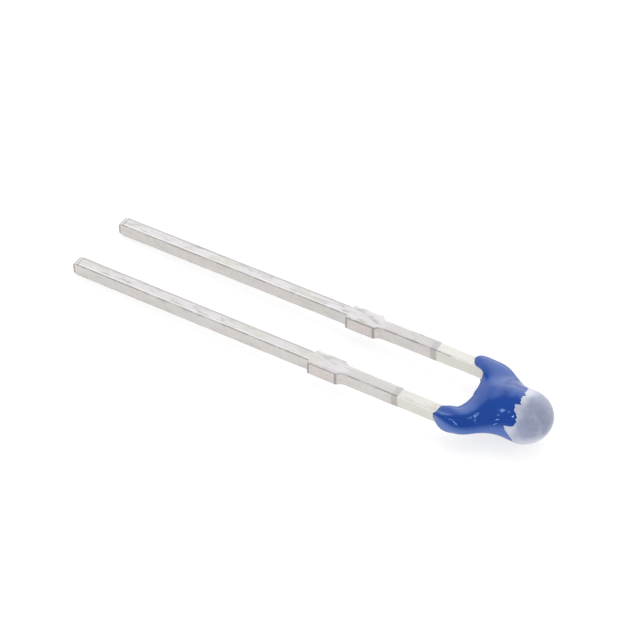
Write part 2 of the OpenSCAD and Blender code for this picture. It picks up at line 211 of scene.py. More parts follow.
def tinMasks(tree, place, patterns, side):
    along, across, height = addNode(tree, "ShaderNodeSeparateXYZ", {0: place}).outputs
    sheared, inward, cutFace = (addNode(tree, "ShaderNodeAttribute", attribute_name=key).outputs["Fac"]
                                for key in ("sheared", "inward", "cutFace"))
    wander = addNode(tree, "ShaderNodeMath", {0: patterns["dashes"], 1: tin["wander"], 2: along},
                     operation="MULTIPLY_ADD")
    sources = {"inward": inward, "along": along, **patterns}
    for key, operation, source, number in (
            ("height", "ABSOLUTE", height, 0.0), ("leftwards", "MULTIPLY", across, side),
            ("fromPinEnd", "ADD", along, lead["pin"][side]),
            ("fromBand", "SUBTRACT", wander, tin["bandStart"][side]),
            ("pastBurrs", "SUBTRACT", wander, tin["burrEnd"][side])):
        sources[key] = addNode(tree, "ShaderNodeMath", {0: source, 1: number}, operation=operation)

    masks = {"sheared": sheared, "cut": cutFace}
    for key, (source, start, full) in {**tin["marks"], **tin["zones"]}.items():
        masks[key] = addNode(tree, "ShaderNodeMapRange", {"Value": sources[source], "From Min": start,
                             "From Max": full}, interpolation_type="SMOOTHSTEP")
    for key, operation, a, b in (
            ("faceOnly", "SUBTRACT", 1.0, "sheared"), ("notDipped", "SUBTRACT", 1.0, "pastBand"),
            ("inBand", "SUBTRACT", "intoBand", "pastBand"), ("arris", "MULTIPLY", "nearFace", "nearRim"),
            # The burr along the arris, darkened with painted shade
            ("burrAndShade", "MULTIPLY", "arris", "dashed"), ("burrAndShade", "MULTIPLY", "burrAndShade", "burred"),
            # Painted highlight: a white band just inside the right edge of the pins' faces
            ("paintedHighlight", "MULTIPLY", "paintedHighlightIn", "paintedHighlightOut"), ("paintedHighlight", "MULTIPLY", "paintedHighlight", "faceOnly"),
            ("paintedHighlight", "MULTIPLY", "paintedHighlight", "onPin"), ("paintedHighlight", "MULTIPLY", "paintedHighlight", "rightSide"),
            # Painted shade: a darker band along the left edge of the pins' faces
            ("leftEdgeShade", "MULTIPLY", "margin", "nearFace"), ("leftEdgeShade", "MULTIPLY", "leftEdgeShade", "onPin"),
            # Painted highlight in white along the arrises where solder was drawn up
            ("leftEdgeShade", "MULTIPLY", "leftEdgeShade", "leftSide"), ("dippedArrisHighlight", "MULTIPLY", "arris", "pastBand"),
            # Painted glints: white specks where the faces are scuffed
            ("paintedGlints", "MULTIPLY", "paintedGlintSpecks", "scuffed"), ("pits", "MULTIPLY", "pitted", "notDipped"),
            ("scratch", "MULTIPLY", "scratched", "scuffed"), ("wetMarks", "MULTIPLY", "scuffed", "pastBand"),
            ("bandMarks", "MULTIPLY", "scratched", "inBand"), ("noseFace", "MULTIPLY", "nose", "faceOnly"),
            ("noseMark", "SUBTRACT", "noseLine", "nose"), ("noseMark", "MULTIPLY", "noseMark", "faceOnly"),
            ("frame", "MAXIMUM", "nearFace", "stopStart"), ("frame", "MAXIMUM", "frame", "stopEnd"),
            ("frame", "MULTIPLY", "frame", "cut"), ("tornFace", "MULTIPLY", "tornPart", "cut")):
        masks[key] = addNode(tree, "ShaderNodeMath", {0: masks.get(a, a), 1: masks[b]}, operation=operation)
    return masks


def layTones(tree, colour, layers, masks):
    for mask, strength, tone in layers:
        share = addNode(tree, "ShaderNodeMath", {0: masks[mask], 1: strength}, operation="MULTIPLY")
        colour = addNode(tree, "ShaderNodeMix", {0: share, 6: colour, 7: linear(tin[tone])}, data_type="RGBA")
    return colour


def tinPlate(name, side):
    material, tree, shader = startMaterial(name)
    place = addNode(tree, "ShaderNodeAttribute", attribute_name="place").outputs["Vector"]
    patterns = tinPatterns(tree, place, side)
    masks = tinMasks(tree, place, patterns, side)

    faceTone = layTones(tree, linear(tin["face"]), tin["faceLayers"], masks)
    sideTone = layTones(tree, linear(tin["side"]), tin["sideLayers"], masks)
    tone = addNode(tree, "ShaderNodeMix", {0: masks["sheared"], 6: faceTone, 7: sideTone}, data_type="RGBA")
    tone = layTones(tree, tone, tin["wholeLayers"], masks)
    tree.links.new(tone.outputs[2], shader.inputs["Base Color"])
    shader.inputs["Metallic"].default_value = 1.0

    rough = addNode(tree, "ShaderNodeMath", {0: masks["scuffed"], 1: tin["scuffRoughness"],
                    2: tin["roughness"]}, operation="MULTIPLY_ADD")
    rough = addNode(tree, "ShaderNodeMath", {0: masks["pastBand"], 1: tin["dippedRoughness"], 2: rough},
                    operation="MULTIPLY_ADD")
    tree.links.new(rough.outputs[0], shader.inputs["Roughness"])

    relief = addNode(tree, "ShaderNodeMath", {0: patterns["scratches"], 1: tin["scratchRelief"],
                     2: patterns["scuffs"]}, operation="MULTIPLY_ADD")
    for key, mask, strength in (("hatching", "sheared", "hatchRelief"), ("torn", "cut", "tornRelief")):
        part = addNode(tree, "ShaderNodeMath", {0: patterns[key], 1: masks[mask]}, operation="MULTIPLY")
        relief = addNode(tree, "ShaderNodeMath", {0: part, 1: tin[strength], 2: relief},
                         operation="MULTIPLY_ADD")
    bump = addNode(tree, "ShaderNodeBump", {"Height": relief, "Strength": tin["bump"],
                   "Distance": tin["bumpDepth"] * mm})
    tree.links.new(bump.outputs[0], shader.inputs["Normal"])
    return material


lead = {
    "pitch": 2.54, "sheet": 0.5, "shank": 0.45,
    "pin": {1: 9.4, -1: 9.6},
    "noseLength": 0.16, "noseDepth": 0.06,
    "stopLength": 1.13, "stopProud": 0.13, "stopRunout": 0.28,
    "stopCorner": 0.03, "stopFillet": 0.05, "cutMargin": 0.004,
    "crankStart": 5.42, "crankEnd": 6.685, "tip": 7.615, "tipOffset": 0.51,
    "edgeRadius": 0.022, "edgeSteps": 4,
    "stations": 0.06, "sideRows": 6, "faceColumns": 8, "leastMitre": 0.4,
    "sharpAngle": 40,  # degrees between faces that don't shade as one
}


def arc(centre, radius, start, end, steps=6):
    angles = [math.radians(lerp(start, end, i / steps)) for i in range(steps + 1)]
    return [(centre[0] + radius * math.cos(a), centre[1] + radius * math.sin(a)) for a in angles]


def stopProfile():  # how far one side of the board stop stands out, along the lead
    proud, fillet, corner = lead["stopProud"], lead["stopFillet"], lead["stopCorner"]
    length, runout = lead["stopLength"], lead["stopRunout"]
    radius = (runout ** 2 + proud ** 2) / (2 * proud)
    sweep = math.degrees(math.asin(runout / radius))
    return (arc((-fillet, fillet), fillet, -90, 0) + arc((corner, proud - corner), corner, 180, 90)
            + arc((length + runout, radius), radius, 270 - sweep, 270, 10))


def leadSide(pin, side):  # corner points along one side of a lead; side is 1 outside, -1 inside
    half, y = lead["shank"] / 2, lead["pitch"] / 2
    turn = math.atan2(y - lead["tipOffset"], lead["crankEnd"] - lead["crankStart"])
    mitre = half * math.tan(turn / 2) * side
    points = [(-pin, half), (-pin + lead["noseLength"], half)] + [(x, half + p) for x, p in stopProfile()]
    points = [(x, y + side * p) for x, p in points]
    return points + [(lead["crankStart"] + mitre, y + side * half),
                     (lead["crankEnd"] + mitre, lead["tipOffset"] + side * half),
                     (lead["tip"], lead["tipOffset"] + side * half)]


def leadOutline(pin):  # both sides with as many points, close enough together to carry detail
    inner, outer = leadSide(pin, -1), leadSide(pin, 1)
    sides = ([inner[0]], [outer[0]])
    for i in range(1, len(inner)):
        steps = max(1, round(math.dist(outer[i - 1], outer[i]) / lead["stations"]))
        for side, points in zip(sides, (inner, outer)):
            side += [tuple(lerp(np.array(points[i - 1]), np.array(points[i]), j / steps))
                     for j in range(1, steps + 1)]
    return np.array(sides[0]), np.array(sides[1])


def inset(ring, amount):  # a closed outline moved inwards, its sharpest mitres held back
    before, after = np.roll(ring, 1, 0), np.roll(ring, -1, 0)
    normals = []
    for a, b in ((before, ring), (ring, after)):
        along = (b - a) / np.linalg.norm(b - a, axis=1)[:, None]
        normals.append(np.stack([along[:, 1], -along[:, 0]], 1))
    middle = normals[0] + normals[1]
    return ring - amount * middle / np.maximum(lead["leastMitre"], (normals[0] * middle).sum(1))[:, None]


def leadLevels():  # how far each ring of points lies inside the outline, and its height
    half, radius, steps = lead["sheet"] / 2, lead["edgeRadius"], lead["edgeSteps"]
    bends = [math.pi / 2 * j / steps for j in range(steps + 1)]
    levels = [(radius * (1 - math.sin(b)), half - radius * (1 - math.cos(b))) for b in bends]
    sideZ = [lerp(half - radius, radius - half, j / lead["sideRows"]) for j in range(1, lead["sideRows"])]
    return levels + [(0.0, z) for z in sideZ] + [(depth, -z) for depth, z in reversed(levels)]


def sideFaces(total, levels):  # the ring of faces between each level and the next
    return [(level * total + i, level * total + (i + 1) % total,
             (level + 1) * total + (i + 1) % total, (level + 1) * total + i)
            for level in range(levels - 1) for i in range(total)]


def sheetFaces(count, level, first, flip):  # a face of the sheet, from the inner side to the outer
    columns, rim = lead["faceColumns"], 2 * count * level

    def number(i, c):
        if c == 0:
            return rim + i
        if c == columns:
            return rim + 2 * count - 1 - i
        return first + (c - 1) * count + i
    faces = []
    for i in range(count - 1):
        for c in range(columns):
            quad = (number(i, c), number(i, c + 1), number(i + 1, c + 1), number(i + 1, c))
            faces.append(quad[::-1] if flip else quad)
    return faces


def leadMesh(pin):  # points, faces, which points are sheared, and how far they lie from the rim
    inner, outer = leadOutline(pin)
    count, columns = len(inner), lead["faceColumns"]
    ring = np.concatenate([inner, outer[::-1]])
    levels = leadLevels()
    points, sheared, inward = [], [], []
    for depth, z in levels:
        flat = inset(ring, depth)
        points.append(np.column_stack([flat, np.full(len(flat), z)]))
        sheared.append(np.full(len(flat), 1.0 if depth < lead["edgeRadius"] / 2 else 0.0))
        inward.append(np.full(len(flat), depth))
    faces = sideFaces(len(ring), len(levels))
    for level, flip in ((0, False), (len(levels) - 1, True)):
        a, b = points[level][:count], points[level][count:][::-1]
        first = sum(len(p) for p in points)
        for c in range(1, columns):
            points.append(a + (b - a) * c / columns)
            sheared.append(np.zeros(count))
            inward.append(np.full(count, min(c, columns - c) * lead["shank"] / columns))
        faces += sheetFaces(count, level, first, flip)
    return np.concatenate(points), faces, np.concatenate(sheared), np.concatenate(inward)


def makeLead(name, node, side, material):
    pin = lead["pin"][side]
    points, faces, sheared, inward = leadMesh(pin)
    # The shear slopes both faces at the pin's end
    intoNose = np.clip((-pin + lead["noseLength"] - points[:, 0]) / lead["noseLength"], 0, 1)
    points[:, 2] *= 1 - intoNose * lead["noseDepth"] / (lead["sheet"] / 2)
    centre = np.where(points[:, 0] < lead["crankStart"], lead["pitch"] / 2, lead["tipOffset"])
    place = np.column_stack([points[:, 0], points[:, 1] - centre, points[:, 2]])
    stopEdge = lead["shank"] / 2 + lead["stopProud"] - lead["cutMargin"]
    cutFace = ((abs(place[:, 1]) > stopEdge) & (sheared > 0.5)).astype(float)
    points[:, 1] *= side
    if side > 0:
        faces = [f[::-1] for f in faces]
    piece = makePiece(name, laid(points), faces, lead["sharpAngle"])
    for key, values in (("place", place), ("sheared", sheared), ("inward", inward), ("cutFace", cutFace)):
        storeAttribute(piece, key, values)
    piece.data.materials.append(material)
    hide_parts(node)
    return piece


leads = [makeLead("leftLead", "left_lead", 1, tinPlate("matteTinLeft", 1)),
         makeLead("rightLead", "right_lead", -1, tinPlate("matteTinRight", -1))]
print("leads made:", " and ".join(str(len(piece.data.polygons)) for piece in leads), "faces")

# The lacquer's skin: lengths in millimetres, and shares of the way along an outline
coat = {
    "lowerEdge": 4.7, "crotch": 5.42, "beadCentre": 7.26,
    "beadRadius": 1.0, "beadHalf": 0.78,
    "sideCoat": 0.2485, "faceCoat": 0.17, "edgeCoat": 0.03,
    "slant": {1: 0.5, -1: 0.25},  # how much higher the lower edge is on a leg's inner side
    "shoulderAt": 0.32, "forkAt": 0.4, "thinAt": 0.6,  # between the lower edge, or crotch, and the bead
    # Where the outline's curves bend: as each leg widens outside, along its inner side, at the neck
    "flare": {1: (0.2, 0.5, 0.1), -1: (0.33, 0.66, 0.32)}, "crotchBend": (0.45, 0.25, 0.5),
    "neckStart": 0.42, "neckFill": {1: 0.6, -1: 0.51},
    "shoulderShare": 0.34, "legShare": 0.62, "swellShare": 0.35,
    # How square the sections are at the foot, along each leg and at the bead
    "footSquareness": 4.5, "legSquareness": {1: 3.0, -1: 2.1}, "beadSquareness": 2.0, "squareShare": 0.5,
    # The bead's dome: how far back it runs and how fast it narrows, shifts and squares off
    "bulgeBack": 1.74, "bulgeHalfWidth": {1: 0.8, -1: 1.2}, "bulgeShift": 0.28, "bulgeTaper": 0.7,
    "bulgePower": 2.5, "bulgeSquaring": 0.4, "bulgeShare": 0.6, "valley": 0.05,
    # The fold beside the dome, rounded on the left side from this far behind the bead's centre
    "foldReach": 0.3, "foldStart": 0.3, "foldSoftness": 0.2, "foldPull": 0.9, "forkPull": 0.5,
    # The highest line along each leg: its foot, a point that it bends towards, and its far end
    "ridge": {1: (1.06, (5.35, 0.72), 0.4), -1: (1.4, (5.8, 1.62), 1.3)},
    # The lower edge round each lead: turn (0 the outer side, 2 the face above, 4 the inner side,
    # 6 the face below) and height above lowerEdge
    "rim": {1: [(0, 0.0), (1, 0.02), (1.3, 0.04), (1.75, 0.09), (1.95, 0.14), (2, 0.27), (2.14, 0.31),
                (2.6, 0.42), (3, 0.6), (3.4, 0.63), (4, 0.62), (5, 0.57), (6, 0.45), (7, 0.12)],
            -1: [(0, 0.04), (0.5, 0.025), (0.8, 0.05), (1, 0.075), (1.4, 0.11), (1.9, 0.125), (2, 0.138),
                 (2.2, 0.13), (2.5, 0.138), (3, 0.18), (4, 0.27), (5, 0.25), (6, 0.2), (6.9, 0.158),
                 (7.8, 0.087)]},
    "rimShare": 0.45,  # how far up the legs the uneven lower edge is felt
    "legSteps": 48, "neckSteps": 28, "capSteps": 30, "archSteps": 32, "relaxPasses": 60,
}
leadY = lead["pitch"] / 2
edgeHalfWidth = lead["shank"] / 2 + coat["edgeCoat"]
edgeHalf = lead["sheet"] / 2 + coat["edgeCoat"]
shoulderX = lerp(coat["lowerEdge"], coat["beadCentre"], coat["shoulderAt"])
shoulderY = leadY + lead["shank"] / 2 + coat["sideCoat"]
forkX = lerp(coat["crotch"], coat["beadCentre"], coat["forkAt"])
thinX = lerp(coat["lowerEdge"], coat["beadCentre"], coat["thinAt"])


def legRidge(share, side):  # the highest line along a leg, from its lower edge to the fork
    foot, knee, hip = coat["ridge"][side]
    return bezier((coat["lowerEdge"] + coat["slant"][side] / 2, foot), knee, (forkX, hip), (forkX, 0), share)


def innerOutline(share, side):
    x, crotch = coat["lowerEdge"] + coat["slant"][side], coat["crotch"]
    along, dip, turn = coat["crotchBend"]
    return bezier((x, leadY - edgeHalfWidth),
                  (lerp(x, crotch, along), leadY - edgeHalfWidth - coat["sideCoat"] * dip),
                  (crotch, leadY * turn), (crotch, 0), share)


def outerOutline(share, side):
    x, bead, radius = coat["lowerEdge"], coat["beadCentre"], coat["beadRadius"]
    split = coat["shoulderShare"]
    if share < split:
        early, late, dip = coat["flare"][side]
        return bezier((x, leadY + edgeHalfWidth),
                      (lerp(x, shoulderX, early), shoulderY - coat["sideCoat"] * dip),
                      (lerp(x, shoulderX, late), shoulderY), (shoulderX, shoulderY), share / split)
    start, fill = coat["neckStart"], coat["neckFill"][side]
    return bezier((shoulderX, shoulderY), (lerp(shoulderX, bead, start), shoulderY),
                  (lerp(shoulderX, bead, fill), radius), (bead, radius), (share - split) / (1 - split))


def riseToBead(x):  # 0 along the legs, where the coat is thin, and 1 at the bead's centre
    return ease((x - thinX) / (coat["beadCentre"] - thinX))


def halfThickness(x, share):
    swell = math.sin(math.pi / 2 * min(1.0, share / coat["swellShare"]))
    legHalf = lead["sheet"] / 2 + coat["faceCoat"]
    return lerp(edgeHalf, lerp(legHalf, coat["beadHalf"], riseToBead(x)), swell)


def bulge(x, y):  # the bead's own dome, which runs back between the legs
    back = max(0.0, coat["beadCentre"] - x)
    taper = ease(back / coat["bulgeTaper"])
    across = y - coat["bulgeShift"] * taper
    width = lerp(coat["beadRadius"], coat["bulgeHalfWidth"][1 if across > 0 else -1], taper)
    length = coat["bulgeBack"] if back else coat["beadRadius"]
    power = lerp(2.0, coat["bulgePower"], ease(back / coat["bulgeSquaring"]))
    r = abs((x - coat["beadCentre"]) / length) ** power + (across / width) ** 2
    return coat["beadHalf"] * math.sqrt(max(0.0, 1 - r))


def joined(a, b):  # the larger height, with a rounded valley where they cross
    blend = coat["valley"]
    return (a + b + math.sqrt((a - b) ** 2 + blend ** 2) - blend) / 2


def foldAt(plan, height, dome):  # 1 in the fold where leg and dome meet, 0 away from it
    if plan[1] <= 0:
        return 0.0
    behind = ease((coat["beadCentre"] - plan[0] - coat["foldStart"]) / coat["foldSoftness"])
    meeting = ease(2 - 2 * abs(height - dome) / coat["foldReach"])
    return behind * meeting * ease(dome / coat["foldReach"])


def halfLoop(side):  # sections from the crotch round one leg to the tip of the bead
    steps, neck, cap = coat["legSteps"], coat["neckSteps"], coat["capSteps"]
    ridgeShift = neck + 1 if side > 0 else neck + 1 + steps
    mirror = np.array([1, side])
    sections = []

    def add(edge, foot, share, ridge, inside=False):
        sections.append({"edge": edge * mirror, "foot": foot * mirror, "share": share,
                         "ridge": ridge, "inside": inside, "side": side})
    for inside in (True, False):
        for i in (range(steps, -1, -1) if inside else range(steps + 1)):
            share = i / steps
            edge = innerOutline(share, side) if inside else outerOutline(share * coat["legShare"], side)
            add(edge, legRidge(share, side), share, 0 if i == steps else ridgeShift + i, inside)
    for i in range(1, neck + 1):
        foot = np.array([lerp(forkX, coat["beadCentre"], i / neck), 0.0])
        add(outerOutline(lerp(coat["legShare"], 1, i / neck), side), foot, 1.0, i)
    centre = np.array([coat["beadCentre"], 0.0])
    for i in range(1, cap + 1):
        a = math.pi / 2 * i / cap
        add(centre + coat["beadRadius"] * np.array([math.sin(a), math.cos(a)]), centre, 1.0, neck)
    return sections


def arch(edge, foot, share, side):  # a section that stands on the outline and arches to its ridge
    alongLeg = lerp(coat["legSquareness"][side], coat["beadSquareness"], riseToBead(foot[0]))
    squareness = lerp(coat["footSquareness"], alongLeg, ease(share / coat["squareShare"]))
    row = []
    for k in range(-coat["archSteps"], coat["archSteps"] + 1):
        a = math.pi / 2 * k / coat["archSteps"]
        plan = lerp(foot, edge, max(0.0, math.cos(a)) ** (2 / squareness))
        height = abs(math.sin(a)) ** (2 / squareness) * halfThickness(plan[0], share)
        dome = bulge(*plan) * ease(share / coat["bulgeShare"])
        fold = foldAt(plan, height, dome)
        height = joined(height, dome)
        row.append((plan[0], plan[1], math.copysign(height, k) if k else 0.0, fold))
    return row


def meanAlongRidge(values, ridge):
    total = np.zeros((ridge.max() + 1, 3))
    np.add.at(total, ridge, values)
    return (total / np.bincount(ridge)[:, None])[ridge]


def relaxed(rows, ridge, pull):  # surface tension rounds the fold where the legs' ridges meet
    for _ in range(coat["relaxPasses"]):
        alongside = (np.roll(rows, 1, 0) + np.roll(rows, -1, 0)) / 2
        beside = np.empty_like(rows)
        beside[:, 1:-1] = (rows[:, :-2] + rows[:, 2:]) / 2
        for end, nextIn in ((0, 1), (-1, -2)):
            beside[:, end] = meanAlongRidge(rows[:, nextIn], ridge)
            alongside[:, end] = meanAlongRidge(alongside[:, end], ridge)
        rows = rows + pull[..., None] * ((alongside + beside) / 2 - rows)
    return rows


def rimHeight(side, turn):  # height of the lower edge at a turn round the lead
    stops = coat["rim"][side]
    stops = stops + [(stops[0][0] + 8, stops[0][1])]  # a whole turn further on
    for (a, low), (b, high) in zip(stops, stops[1:]):
        if a <= turn <= b:
            return lerp(low, high, (turn - a) / (b - a))


def shapeLowerEdges(rows, sections):
    for row, section in zip(rows, sections):
        side, inside = section["side"], section["inside"]
        weight = max(0.0, 1 - section["share"] / coat["rimShare"]) ** 2
        if weight == 0 or abs(section["foot"][1]) < leadY / 2:
            continue
        lowest = innerOutline(0, side) if inside else outerOutline(0, side)
        bottom = arch(lowest, legRidge(0, side), 0, side)
        for k, point in enumerate(row):
            a = (k - coat["archSteps"]) / coat["archSteps"]
            turn = 4 - 2 * a if inside else (2 * a) % 8
            wanted = coat["lowerEdge"] + rimHeight(side, turn)
            point[0] += weight * (wanted - bottom[k][0])
    return rows


def skinMesh(rows, ridge):  # points and triangles of a closed skin, its ridge points shared
    count, arches = rows.shape[0], rows.shape[1] - 2
    first = {r: n for n, r in reversed(list(enumerate(ridge)))}
    ridgePoints = [rows[first[r], end] for r in range(ridge.max() + 1) for end in (0, -1)]
    points = np.concatenate([rows[:, 1:-1].reshape(-1, rows.shape[2]), ridgePoints])

    def number(n, k):
        n %= count
        if 0 < k <= arches:
            return n * arches + k - 1
        return count * arches + 2 * ridge[n] + (1 if k else 0)
    faces = []
    for n in range(count):
        for k in range(arches + 1):
            a, b, c, d = number(n, k), number(n, k + 1), number(n + 1, k + 1), number(n + 1, k)
            for triangle in ((a, b, c), (a, c, d)):
                if len(set(triangle)) == 3:
                    faces.append(triangle)
    return points, faces


def makeLacquer():
    left, right = halfLoop(1), halfLoop(-1)
    sections = left + right[-2:0:-1]
    ridge = np.array([section["ridge"] for section in sections])
    rows = np.array([arch(s["edge"], s["foot"], s["share"], s["side"]) for s in sections])
    offOutline = abs(np.arange(rows.shape[1]) - coat["archSteps"]) / coat["archSteps"]
    pull = []
    for section in sections:
        beforeBead = (coat["beadCentre"] - section["foot"][0]) / (coat["beadCentre"] - forkX)
        strength = coat["forkPull"] * ease(section["share"] / coat["bulgeShare"])
        pull.append([strength * ease(o) * min(1, max(0, beforeBead)) for o in offOutline])
    pull = np.maximum(pull, coat["foldPull"] * rows[..., 3])
    rows = relaxed(rows[..., :3], ridge, pull)
    rows = shapeLowerEdges(rows, sections)
    skin = np.dstack([rows, np.broadcast_to(offOutline, rows.shape[:2])])
    points, faces = skinMesh(skin, ridge)
    piece = makePiece("lacquerCoating", laid(points[:, :3]), faces)
    storeAttribute(piece, "offOutline", points[:, 3])
    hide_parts("lacquer_coating")
    return piece, points[:, :3], faces


lacquer, skinPoints, skinFaces = makeLacquer()
print("lacquer made:", len(lacquer.data.polygons), "faces")

# Blue lacquer, dipped and cured: opaque deep blue under a wet gloss that lifts at a slant, and
# thinner and paler towards the outline, where the paler blue is partly painted light
lacquerFinish = {
    # The pale blue towards the outline is partly thinner lacquer and partly painted light from the pale
    # surroundings
    "deep": "#153883", "light": "#1A4191", "thinAndLit": "#4C66A6", "thinAndLitFrom": 0.36, "thinAndLitTo": 0.1,
    "roughness": 0.08, "ior": 1.48, "tint": "#B6D8FF",
    "cloud": 0.6, "peel": 0.16, "bump": 0.05, "bumpDepth": 0.01,  # millimetres
}


def blueLacquer():
    material, tree, shader = startMaterial("dippedBlueLacquer")
    where = addNode(tree, "ShaderNodeTexCoord").outputs["Object"]
    clouds = addNode(tree, "ShaderNodeTexNoise", {"Vector": where, "Scale": 1 / (lacquerFinish["cloud"] * mm),
                     "Detail": 3.0})
    tone = addNode(tree, "ShaderNodeMix", {0: clouds, 6: linear(lacquerFinish["deep"]),
                   7: linear(lacquerFinish["light"])}, data_type="RGBA")
    offOutline = addNode(tree, "ShaderNodeAttribute", attribute_name="offOutline").outputs["Fac"]
    # Paler towards the outline: partly thin lacquer, partly painted light
    thinAndLit = addNode(tree, "ShaderNodeMapRange", {"Value": offOutline, "From Min": lacquerFinish["thinAndLitFrom"],
                   "From Max": lacquerFinish["thinAndLitTo"]}, interpolation_type="SMOOTHSTEP")
    tone = addNode(tree, "ShaderNodeMix", {0: thinAndLit, 6: tone, 7: linear(lacquerFinish["thinAndLit"])},
                   data_type="RGBA")
    tree.links.new(tone.outputs[2], shader.inputs["Base Color"])
    shader.inputs["Roughness"].default_value = lacquerFinish["roughness"]
    shader.inputs["IOR"].default_value = lacquerFinish["ior"]
    shader.inputs["Specular Tint"].default_value = linear(lacquerFinish["tint"])
    peel = addNode(tree, "ShaderNodeTexNoise", {"Vector": where, "Scale": 1 / (lacquerFinish["peel"] * mm),
                   "Detail": 1.0})
    bump = addNode(tree, "ShaderNodeBump", {"Height": peel, "Strength": lacquerFinish["bump"],
                   "Distance": lacquerFinish["bumpDepth"] * mm})
    tree.links.new(bump.outputs[0], shader.inputs["Normal"])
    return material


lacquer.data.materials.append(blueLacquer())

paint = {
    "thickness": 0.029, "edgeRounding": 0.05, "sink": 0.002,
    # Paler towards the edge, from this far before the bead's centre, and paler below this height as painted
    # light from the floor
    "paleStart": 0.1, "paleReach": 0.6, "floorLightTop": 0.5, "floorLightDrop": 1.0,
    # The ragged edge: degrees round the bead from its left side over the top, and how far it
    # stands before the bead's centre
    "edge": [(0, -0.12), (40, -0.17), (60, -0.12), (79, -0.06), (88, -0.1), (95, -0.07), (103, -0.01),
             (109, 0.0), (113, -0.14), (123, -0.15), (131, -0.05), (139, 0.08), (150, 0.1), (158, 0.04),
             (161, -0.03), (164, -0.23), (167, -0.19), (171, -0.15), (179, 0.02), (190, 0.12), (200, 0.18),
             (230, 0.07), (262, 0.17), (290, 0.02), (325, 0.06), (360, -0.12)],
    "toothWidth": 4.0, "toothReach": 0.04, "toothSeed": 5,  # degrees, millimetres
    "around": 720, "rows": 44, "rowSpread": 1.6,  # rows lie closer together near the edge
    "sharpAngle": 60,
}


def paintEdge(angle):  # where the paint's edge crosses a line along the bead
    for (a, start), (b, end) in zip(paint["edge"], paint["edge"][1:]):
        if a <= angle <= b:
            return coat["beadCentre"] + lerp(start, end, (angle - a) / (b - a))


def roundTeeth(seed):  # small uneven teeth all round the edge
    rng = random.Random(seed)
    count = round(360 / paint["toothWidth"])
    heights = [rng.uniform(-1, 1) for _ in range(count)]

    def at(angle):
        place = angle % 360 / 360 * count
        i = int(place)
        return paint["toothReach"] * lerp(heights[i % count], heights[(i + 1) % count], place - i)
    return at


def paintPoints(skin):  # the paint's outer and inner skin, and how pale it is at each point
    teeth = roundTeeth(paint["toothSeed"])
    centre = Vector((coat["beadCentre"], 0, 0))
    outer, inner, paleness = [], [], []
    for i in range(paint["around"]):
        angle = 360 * i / paint["around"]
        outward = Vector((0, math.cos(math.radians(angle)), math.sin(math.radians(angle))))
        start = Vector((paintEdge(angle) + teeth(angle), 0, 0))
        onEdge = skin.ray_cast(start, outward)[0]
        axis = onEdge - centre
        fromTip = math.atan2(axis.dot(outward), axis.x)
        for j in range(paint["rows"]):
            gamma = fromTip * (1 - (j / paint["rows"]) ** paint["rowSpread"])
            direction = Vector((math.cos(gamma), 0, 0)) + math.sin(gamma) * outward
            hit, normal = skin.ray_cast(centre, direction)[:2]
            toEdge = min(1.0, (hit - onEdge).length / paint["edgeRounding"])
            rise = paint["thickness"] * math.sqrt(1 - (1 - toEdge) ** 2)
            outer.append(hit + normal * rise)
            inner.append(hit - normal * paint["sink"])
            ahead = ease(1 - (hit.x - coat["beadCentre"] + paint["paleStart"]) / paint["paleReach"])
            # Painted light: paler lower down, where the floor lights the paint
            below = ease((paint["floorLightTop"] - hit.z) / paint["floorLightDrop"])
            paleness.append(max(ahead, below))
    tip, normal = skin.ray_cast(centre, Vector((1, 0, 0)))[:2]
    tips = [tip + normal * paint["thickness"], tip - normal * paint["sink"]]
    return outer + inner + tips, paleness + paleness + [0.0, 0.0]


def paintFaces():  # both skins, joined along the ragged edge
    count, steps = paint["around"], paint["rows"]
    shift = count * steps
    faces = []
    for i in range(count):
        n = (i + 1) % count
        for j in range(steps - 1):
            a, b, c, d = i * steps + j, n * steps + j, n * steps + j + 1, i * steps + j + 1
            faces += [(a, b, c, d), (shift + d, shift + c, shift + b, shift + a)]
        last, nextLast = i * steps + steps - 1, n * steps + steps - 1
        faces += [(last, nextLast, 2 * shift), (shift + nextLast, shift + last, 2 * shift + 1)]
        faces.append((i * steps, shift + i * steps, shift + n * steps, n * steps))
    return faces


def makePaint():
    skin = BVHTree.FromPolygons([tuple(p) for p in skinPoints], skinFaces)
    points, paleness = paintPoints(skin)
    piece = makePiece("markingPaint", laid(np.array(points)), paintFaces(), paint["sharpAngle"])
    storeAttribute(piece, "paleness", paleness)
    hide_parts("marking_paint")
    return piece


markingPaint = makePaint()
print("marking paint made:", len(markingPaint.data.polygons), "faces")

# Grey marking paint, a second dip: thin milky enamel, mottled warm and cool, satin with a soft bloom, paler
# towards its edge, and paler lower down as painted light from the floor
paintFinish = {
    "warm": "#9092A5", "warmAt": 0.35, "body": "#858CA5", "bodyAt": 0.5, "pale": "#B4B8C5", "paleAt": 0.7,
    "mottle": 0.55, "mottleStart": 0.2, "paling": 0.25,
    "roughness": 0.25, "ior": 1.5, "sheen": 0.35, "sheenRoughness": 0.4,
    "cloud": 0.7, "grain": 0.12, "bump": 0.2, "bumpDepth": 0.01,  # millimetres
}


